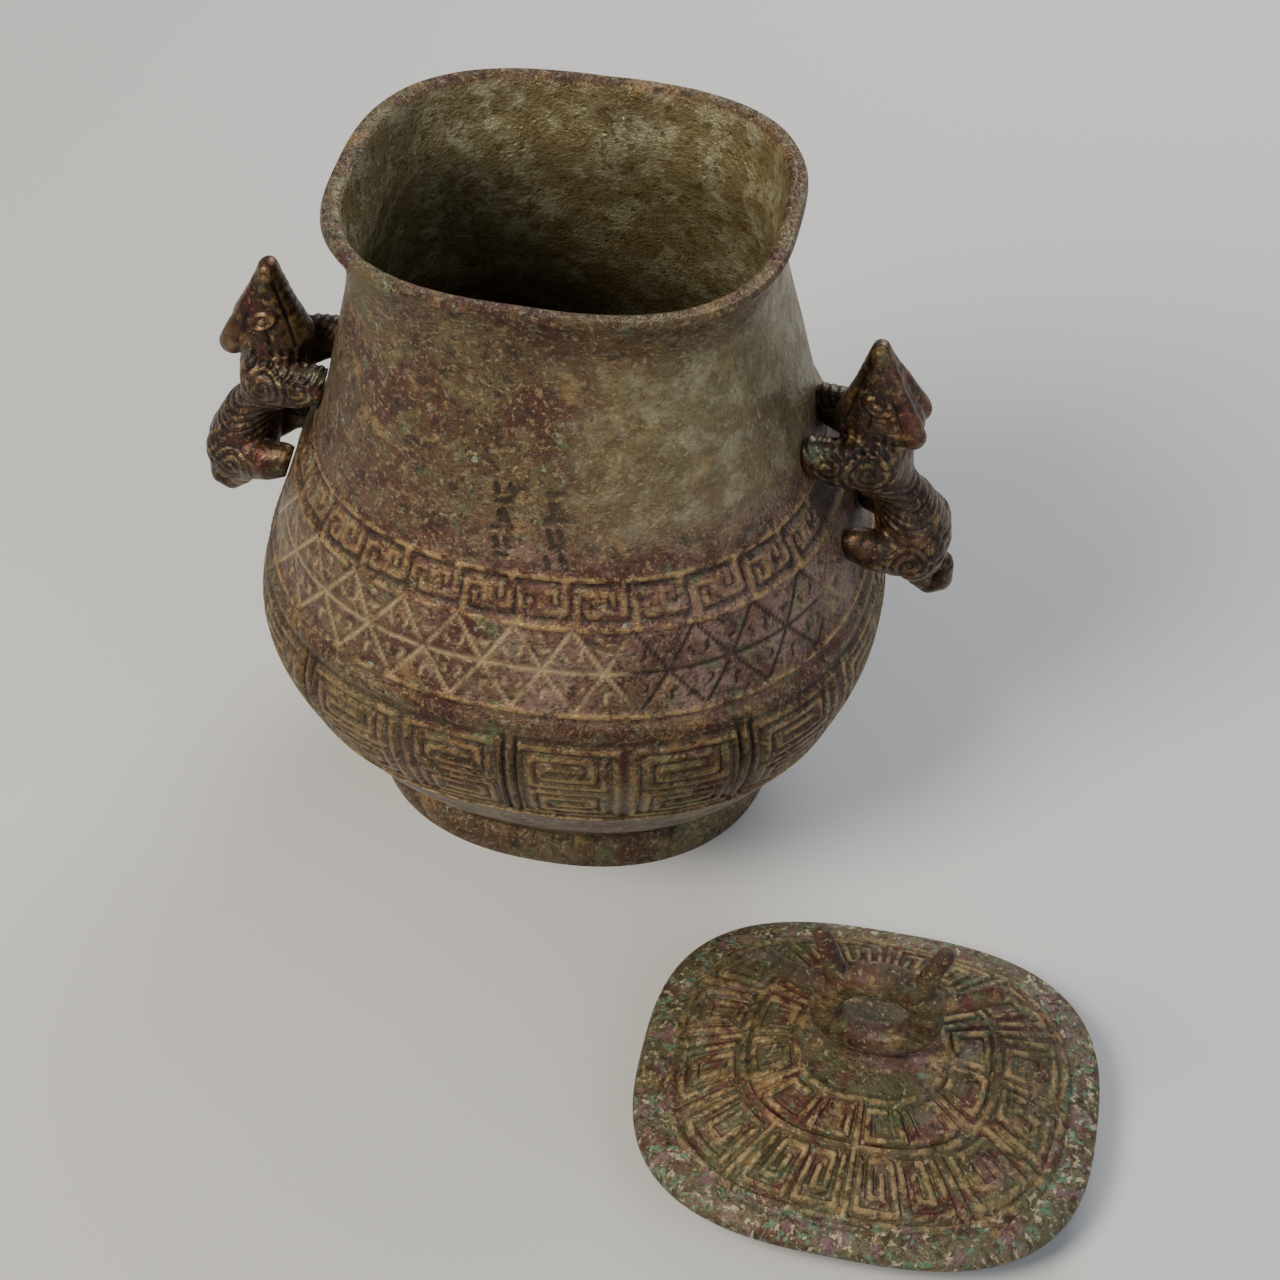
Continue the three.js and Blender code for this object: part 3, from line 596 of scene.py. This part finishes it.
# A place is a share of the beast's height, of its stand off the wall and, for a pair, of its breadth sideways
beastShape = {
    "base": 123,
    "height": 117,
    "standOff": 40,
    "breadth": 38,
    "voxel": 0.68,
    # haunch, narrow waist, shoulders and throat: places, radii in mm, stretch, steps between two places
    "trunk": [
        ([(0.10, 0.5), (0.20, 0.57), (0.30, 0.56)], [9.5, 15, 13], (0.95, 1.26, 1), 5),
        ([(0.30, 0.56), (0.41, 0.56), (0.50, 0.55)], [12, 9.4, 12], (0.95, 1.26, 1), 5),
        ([(0.50, 0.54), (0.57, 0.56), (0.65, 0.60)], [13, 14.4, 10.5], (1, 1.26, 1), 5),
        ([(0.60, 0.58), (0.67, 0.64)], [11, 10.5], (1, 1.2, 1), 3),
    ],
    "snout": (0.955, 0.82),
    "headFan": [(0.42, 7.2), (0.54, 8.8), (0.66, 9.6), (0.78, 9.4), (0.89, 8.2)],
    "ear": [(0.70, 0.99, 0.20), (0.81, 0.90, 0.13)],
    "earTip": (0.683, 1.01, 0.21),
    # hind limb and fore limb, from the trunk to the wall
    "limbs": [
        ([(0.20, 0.46, 0.28), (0.22, 0.24, 0.40), (0.235, 0.06, 0.40)], [9.5, 7.6, 6.4], (1, 1, 1.15)),
        ([(0.56, 0.50, 0.27), (0.58, 0.26, 0.38), (0.60, 0.04, 0.40)], [9.6, 8.2, 6.8], (1, 1, 1.25)),
    ],
    "thighs": [((0.20, 0.60, 0.24), 12.4), ((0.56, 0.57, 0.26), 12.0)],
    "tail": ([(0.12, 0.48), (0.035, 0.50), (0.0, 0.58), (0.015, 0.70), (0.075, 0.76), (0.10, 0.68)],
             [6.4, 5.8, 5.2, 4.8, 4.4, 3.8], (1, 1.35, 1), 6),
    # engraving: pitches in mm, spirals as rise, out and radius, creases as start, end and depth
    "waistPitch": 2.9,
    "haunchPitch": 5.2,
    "spirals": [(0.575, 0.56, 11.5), (0.195, 0.56, 9.5), (0.60, 0.20, 6.0)],
    "spiralPitch": 3.4,
    "manePitch": 3.6,
    "browPitch": 4.2,
    "eye": (0.795, 0.74),
    "creases": [((0.70, 0.36), (0.93, 0.72), 0.7), ((0.72, 0.93), (0.93, 0.84), 0.5),
                ((0.715, 0.60), (0.76, 0.66), 0.5)],
}


def beastPoint(rise, out, sidestep=0.0):
    level = beastShape["base"] + rise * beastShape["height"]
    x = bodyAt(level)[0, 0] + out * beastShape["standOff"]
    return np.array([x, sidestep * beastShape["breadth"], level])


def addBall(place, radius, scale=(1, 1, 1)):
    bpy.ops.mesh.primitive_ico_sphere_add(subdivisions=3, radius=radius * mm, location=np.array(place) * mm)
    ball = bpy.context.object
    ball.scale = scale
    return ball


# A limb as a row of balls close enough to fuse
def addChain(points, radii, scale=(1, 1, 1), steps=5):
    balls = []
    count = (len(points) - 1) * steps
    shares = np.linspace(0, len(points) - 1, count + 1)
    places = np.array([np.interp(shares, range(len(points)), [p[i] for p in points]) for i in range(3)]).T
    sizes = np.interp(shares, range(len(radii)), radii)
    for place, size in zip(places, sizes):
        balls.append(addBall(place, size, scale))
    return balls


def makeBeast():
    deselectAll()
    balls = []
    for places, radii, stretch, steps in beastShape["trunk"]:
        balls += addChain([beastPoint(*place) for place in places], radii, stretch, steps)
    # Head: a fan of chains from the throat to a rounded snout, with an ear along each side
    tip = beastPoint(*beastShape["snout"])
    for out, radius in beastShape["headFan"]:
        places = [beastPoint(0.682, out), beastPoint(0.81, 0.5 * out + 0.40), tip]
        balls += addChain(places, [radius, 0.74 * radius, 4.0], (1, 1.4, 1), 8)
    for side in (-1, 1):
        ear = [beastPoint(rise, out, side * aside) for rise, out, aside in beastShape["ear"]]
        balls += addChain(ear + [tip], [5.4, 4.8, 3.8], steps=8)
        rise, out, aside = beastShape["earTip"]
        balls.append(addBall(beastPoint(rise, out, side * aside), 5.0, (1, 0.9, 1.1)))
        for places, radii, stretch in beastShape["limbs"]:
            limb = [beastPoint(rise, out, side * aside) for rise, out, aside in places]
            balls += addChain(limb, radii, stretch)
        for (rise, out, aside), radius in beastShape["thighs"]:
            balls.append(addBall(beastPoint(rise, out, side * aside), radius, (0.95, 0.8, 1.1)))
    places, radii, stretch, steps = beastShape["tail"]
    balls += addChain([beastPoint(*place) for place in places], radii, stretch, steps)
    piece = joinPieces(balls, "beastCastingRight")
    addModifier(piece, "REMESH", mode="VOXEL", voxel_size=beastShape["voxel"] * mm, use_smooth_shade=True)
    addModifier(piece, "SMOOTH", factor=0.5, iterations=6)
    engraveBeast(piece)
    return piece


def engraveBeast(piece):
    points = readPoints(piece)
    normals = np.empty(3 * len(points))
    piece.data.vertices.foreach_get("normal", normals)
    normals = normals.reshape(-1, 3)
    x, y, z = (points / mm).T
    rise = (z - beastShape["base"]) / beastShape["height"]
    out = (x - bodyAt(z)[:, 0]) / beastShape["standOff"]
    depth = np.zeros(len(x))
    # Fine cuts across the waist and wider ones over the haunch
    waist = smoothStep(0.27, 0.33, rise) * (1 - smoothStep(0.47, 0.51, rise)) * smoothStep(0.22, 0.34, out)
    along = z + 0.22 * (x - 125) + 0.9 * np.sin(x / 5) + 0.06 * np.abs(y)
    cuts = 0.5 + 0.5 * np.cos(2 * math.pi * along / beastShape["waistPitch"])
    depth -= 0.55 * waist * cuts ** 2
    haunch = smoothStep(0.06, 0.10, rise) * (1 - smoothStep(0.27, 0.31, rise)) * smoothStep(0.62, 0.8, out)
    along = z - 0.5 * x + 1.2 * np.sin(y / 6)
    cuts = 0.5 + 0.5 * np.cos(2 * math.pi * along / beastShape["haunchPitch"])
    depth -= 0.5 * haunch * cuts ** 5
    # Spirals on shoulder and haunch
    for riseAt, outAt, radius in beastShape["spirals"]:
        centre = beastPoint(riseAt, outAt)
        dx, dz = x - centre[0], z - centre[2]
        away = np.hypot(dx, dz)
        turn = np.arctan2(dz, dx) / (2 * math.pi)
        side = smoothStep(8, 11, np.abs(y)) * (1 - smoothStep(radius - 1, radius + 1.5, away))
        rings = 0.5 + 0.5 * np.cos(2 * math.pi * (away / beastShape["spiralPitch"] - turn))
        depth += side * (0.75 * rings - 0.5)
    # A collar of mane locks behind the head
    mane = smoothStep(0.615, 0.63, rise) * (1 - smoothStep(0.69, 0.71, rise))
    mane = mane * (1 - smoothStep(0.78, 0.9, out))
    along = 0.5 * z + x + 1.4 * np.sin(z / 2.4)
    locks = 0.5 + 0.5 * np.cos(2 * math.pi * along / beastShape["manePitch"])
    depth -= 0.55 * mane * locks
    # Almond eyes with a raised rim, a brow line and a mouth line on the sides of the head
    eye = beastPoint(*beastShape["eye"])
    slant = (x - eye[0]) * 0.95 - (z - eye[2]) * 0.3, (z - eye[2]) * 0.95 + (x - eye[0]) * 0.3
    away = np.hypot(slant[0] / 1.7, slant[1])
    sideways = smoothStep(2.5, 4.5, np.abs(y))
    rim, groove = ridge(np.abs(away - 2.8), 0.4, 0.9), ridge(np.abs(away - 4.1), 0.4, 0.9)
    depth += sideways * (0.6 * rim - 0.5 * groove)
    pupil, ringCut = ridge(away, 0.9, 1.0), ridge(np.abs(away - 1.7), 0.3, 0.8)
    depth += sideways * (0.45 * pupil - 0.35 * ringCut)
    for start, end, cutDepth in beastShape["creases"]:
        crease = lineDistance(x, z, [[tuple(beastPoint(*start)[[0, 2]]), tuple(beastPoint(*end)[[0, 2]])]])
        depth -= sideways * cutDepth * ridge(crease, 0.5, 1.2)
    # Wrinkles over the brow
    brow = smoothStep(0.72, 0.76, rise) * (1 - smoothStep(0.90, 0.95, rise))
    brow = brow * (1 - smoothStep(2, 6, np.abs(y)))
    depth -= 0.35 * brow * (0.5 + 0.5 * np.cos(2 * math.pi * (z + 0.6 * x) / beastShape["browPitch"]))
    # Small unevenness of a cast and worn surface
    uneven = 0.12 * np.sin(x / 2.1 + 3 * np.sin(z / 7)) * np.sin(y / 1.9 + 2 * np.sin(x / 6))
    depth += uneven * np.sin(z / 2.3)
    moved = points + normals * (depth * mm)[:, None]
    # The casting stops at the jar's skin
    radius = (bodyAt(z)[:, 0] + 0.5) * sectionRadius(np.arctan2(y, x), bodyAt(z)[:, 1], bodyAt(z)[:, 2])
    reach = np.hypot(moved[:, 0], moved[:, 1]) / mm
    push = np.where(reach < radius, radius / np.maximum(reach, 1), 1)
    moved[:, 0] *= push
    moved[:, 1] *= push
    writePoints(piece, moved)
    setAttribute(piece, "relief", np.clip(0.52 + depth * 0.6 + 0.3 * np.clip(out - 0.6, 0, 1), 0, 1))
    setAttribute(piece, "crustAndLight", 1 - smoothStep(0.05, 0.3, out))
    setAttribute(piece, "blushAndSheen", smoothStep(0.88, 1.02, out) * smoothStep(0.6, 0.66, rise))


def mirrorBeast(source):
    onlyThis(source)
    bpy.ops.object.duplicate()
    twin = bpy.context.object
    twin.name = "beastCastingLeft"
    points = readPoints(twin)
    points[:, 0] *= -1
    writePoints(twin, points)
    onlyThis(twin)
    bpy.ops.object.mode_set(mode="EDIT")
    bpy.ops.mesh.select_all(action="SELECT")
    bpy.ops.mesh.normals_make_consistent(inside=False)
    bpy.ops.object.mode_set(mode="OBJECT")
    return twin


# Lid

lidShape = {
    "halfWidth": 87.5,
    "field": 76.5,
    "base": 20,
    "top": 44,
    "thickness": 4.2,
    "depthRatio": 0.84,
    "columns": 620,
    "lines": (0.36, 0.62, 0.97),  # raised lines, as shares of the field
    # bars between the raised lines, in degrees round the lid
    "outerBars": [0, 25, 50, 90, 130, 155, 180, 205, 230, 270, 310, 335, 360],
    "innerBars": [-30, 30, 90, 150, 210, 270, 330],
    "barHalfWidth": 1.35,
    "spiralGap": 5.0,
    "barRise": 1.35,
    "ground": 0.75,
    # rim, underside, plug and the dome's inside: half width and level, then shares of the field
    "rim": [(78, 19.8), (80, 19.2), (82.5, 18.4), (85, 17.5), (86.4, 16.7), (87.2, 15.8), (87.5, 14.6),
            (87.4, 13), (86.9, 12.3), (86, 12), (82, 12), (77, 12), (76.3, 11.4), (76.2, 8), (76.2, 3),
            (76, 1), (75.2, 0.1), (73, 0), (72.3, 0.8), (72.2, 6), (72.2, 12), (69, 18)],
    "rimRows": 8,  # of these, the rows that show from above and are cast uneven
    "insideShares": (0.8, 0.62, 0.45, 0.25, 0.06),
    "ringLevel": 66,
    "ringRadius": 25,
    "ringHole": 12.5,
    "ringThickness": 11,
    # two prongs on each side of the ring, as shares of its radius
    "prongs": (((0.66, 0.48), (0.95, 0.42), (1.3, 0.56), (1.68, 0.86)),
               ((0.60, 0.58), (0.68, 0.90), (0.76, 1.22), (0.88, 1.56))),
    "prongRadii": [4.6, 4.1, 3.8, 3.4],
    # where it lies: clear of the jar's widest part, at a bearing in degrees
    "jarReach": 126,
    "spacing": 12,
    "bearing": -48,
}


def lidRelief(angle, share):
    lift = np.zeros(angle.shape)
    mark = np.full(angle.shape, 0.5)
    field = lidShape["field"]
    inner, middle, outer = lidShape["lines"]
    degrees = np.degrees(angle) % 360
    rings = ((middle, outer, lidShape["outerBars"]), (inner, middle, lidShape["innerBars"]))
    for low, high, bars in rings:
        height = (high - low) * field
        radius = (high + low) / 2 * field
        for start, end in zip(bars, bars[1:]):
            turned = (degrees - start) % 360
            cell = (turned < end - start) & (share > low) & (share < high)
            width = math.radians(end - start) * radius
            u = turned[cell] / (end - start) * width
            v = (share[cell] - low) * field
            lines = [[(0, 0), (0, height)], [(width, 0), (width, height)]]
            gap = lidShape["spiralGap"]
            # Two spirals that face each other in a wide panel, one in a narrow one
            if width > 32:
                lines.append(squareSpiral(4.2, 4.2, width / 2 - 2, height - 4, gap, low == inner))
                lines.append(squareSpiral(width / 2 + 2, 4.2, width - 4.2, height - 4, gap, low != inner))
            else:
                lines.append(squareSpiral(4.4, 4.4, width - 4.4, height - 4.4, gap, start % 50 == 0))
            away = lineDistance(u, v, lines)
            stand = ridge(away, lidShape["barHalfWidth"], 0.9)
            # Fine lines run between the broad ones
            fine = ridge(np.abs(np.mod(away + 1.3, 2.6) - 1.3), 0.35, 0.7) * (away > 1.8)
            lift[cell] += lidShape["barRise"] * stand - lidShape["ground"] + 0.5 * fine
            mark[cell] += 0.4 * stand - 0.3 * (1 - stand) + 0.35 * fine
    for line in lidShape["lines"]:
        stand = ridge(np.abs(share - line) * field, 1.3, 0.9)
        lift += stand * (0.7 - np.clip(lift, -0.8, 0.8))
        mark = np.maximum(mark, 0.5 + 0.35 * stand)
    edge = ridge(np.abs(share - outer) * field, 3.1, 0.8) * (share > outer)
    lift -= 0.5 * edge * (1 - ridge(np.abs(share - outer) * field, 1.3, 0.9))
    return lift, np.clip(mark, 0, 1)


def makeLid():
    inner, outer = lidShape["lines"][0], lidShape["lines"][-1]
    field, base, top = lidShape["field"], lidShape["base"], lidShape["top"]
    shares = np.concatenate([np.linspace(0.02, inner - 0.02, 12, endpoint=False),
                             np.linspace(inner - 0.02, outer + 0.02, 76), [1.0]])
    rows = [(share * field, base + (top - base) * (1 - share ** 2), share) for share in shares]
    rows += [(width, level, 2) for width, level in lidShape["rim"]]
    for share in lidShape["insideShares"]:
        rows.append((share * field, base + (top - base) * (1 - share ** 2) - lidShape["thickness"], 2))
    rows = np.array(rows)
    deselectAll()
    bpy.ops.mesh.primitive_grid_add(x_subdivisions=lidShape["columns"], y_subdivisions=len(rows) - 1, size=1)
    piece = bpy.context.object
    points = readPoints(piece)
    angle = (points[:, 0] + 0.5) * 2 * math.pi - math.pi
    row = np.rint((points[:, 1] + 0.5) * (len(rows) - 1)).astype(int)
    width, level, share = rows[row].T
    lift, mark = lidRelief(angle, share)
    squareness = 2.27 + 0.53 * np.minimum(width / lidShape["halfWidth"], 1)
    outside = smoothStep(0.1, 0.3, width / field) * (row < len(shares) + lidShape["rimRows"])
    wavy = castWaves(angle, width, 21) * 0.3 * outside
    radius = width * sectionRadius(angle, lidShape["depthRatio"], squareness)
    points[:, 0] = radius * np.cos(angle)
    points[:, 1] = radius * np.sin(angle)
    points[:, 2] = level + lift + wavy
    writePoints(piece, points * mm)
    setAttribute(piece, "relief", mark)
    setAttribute(piece, "crustAndLight", np.where(share > 0.97, 1.0, smoothStep(0.55, 1.0, share) * 0.35))
    closeShell(piece, 0.00002)
    ring = makeRing()
    whole = joinPieces([piece, ring], "lidCasting")
    distance = lidShape["jarReach"] + lidShape["halfWidth"] + lidShape["spacing"]
    bearing = math.radians(lidShape["bearing"])
    points = readPoints(whole)
    points += np.array([distance * math.cos(bearing), distance * math.sin(bearing), 0]) * mm
    writePoints(whole, points)
    return whole


def makeRing():
    level, radius, hole = lidShape["ringLevel"], lidShape["ringRadius"], lidShape["ringHole"]
    half = lidShape["ringThickness"] / 2
    deselectAll()
    bpy.ops.mesh.primitive_torus_add(
        major_segments=96, minor_segments=28,
        major_radius=(radius + hole) / 2 * mm, minor_radius=(radius - hole) / 2 * mm)
    ring = bpy.context.object
    points = readPoints(ring) / mm
    around = np.arctan2(points[:, 1], points[:, 0])
    middle = (radius + hole) / 2
    across = (np.hypot(points[:, 0], points[:, 1]) - middle) / (radius - middle)
    thick = points[:, 2] / (radius - middle)
    # The section is squarer than a round one
    swell = (np.abs(across) ** 3 + np.abs(thick) ** 3) ** (-1 / 3)
    across, thick = across * swell, thick * swell
    far = middle + across * (radius - middle)
    points = np.stack([far * np.cos(around), thick * half, level + far * np.sin(around)], 1)
    writePoints(ring, points * mm)
    parts = [ring]
    for side in (-1, 1):
        for path in lidShape["prongs"]:
            places = [np.array([side * x * radius, 0, level + z * radius]) for x, z in path]
            parts += addChain(places, lidShape["prongRadii"], steps=6)
    ring = joinPieces(parts, "ringKnob")
    addModifier(ring, "REMESH", mode="VOXEL", voxel_size=0.7 * mm, use_smooth_shade=True)
    addModifier(ring, "SMOOTH", factor=0.5, iterations=3)
    points = readPoints(ring) / mm
    rise = (points[:, 2] - level) / radius
    setAttribute(ring, "relief", np.clip(0.35 + 0.38 * (np.abs(points[:, 1]) / half) ** 3, 0, 0.75))
    setAttribute(ring, "crustAndLight", 0.5 * (1 - smoothStep(-1, 0.2, rise)))
    return ring


# Floor: matt paper, plain and pale
def makeFloor():
    deselectAll()
    bpy.ops.mesh.primitive_plane_add(size=30, location=(0, 0, 0))
    floor = bpy.context.object
    floor.name = "studioFloor"
    material = bpy.data.materials.new("paperBackdrop")
    material.use_nodes = True
    shader = material.node_tree.nodes["Principled BSDF"]
    shader.inputs["Base Color"].default_value = toLinear("#cfd0cf")
    shader.inputs["Roughness"].default_value = 0.9
    floor.data.materials.append(material)


placeCamera()
placeLights()
makeFloor()
print("camera, lights and floor placed")

materials = {name: patinatedBronze(name, look) for name, look in bronzeLooks.items()}
print("bronzes mixed")

jarPiece = makeJar()
print("jar cast", len(jarPiece.data.polygons))
rightBeast = makeBeast()
leftBeast = mirrorBeast(rightBeast)
print("beasts cast", len(rightBeast.data.polygons))
lidPiece = makeLid()
print("lid cast", len(lidPiece.data.polygons))

for piece, finish, node, slotName in (
        (jarPiece, "jarBronze", "jar", "jar_bronze"),
        (rightBeast, "beastBronze", "beast_handle_right", "beast_bronze"),
        (leftBeast, "beastBronze", "beast_handle_left", "beast_bronze"),
        (lidPiece, "lidBronze", "lid", "lid_bronze")):
    piece.data.materials.clear()
    piece.data.materials.append(materials[finish])
    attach(piece, "root")
    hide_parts(node)
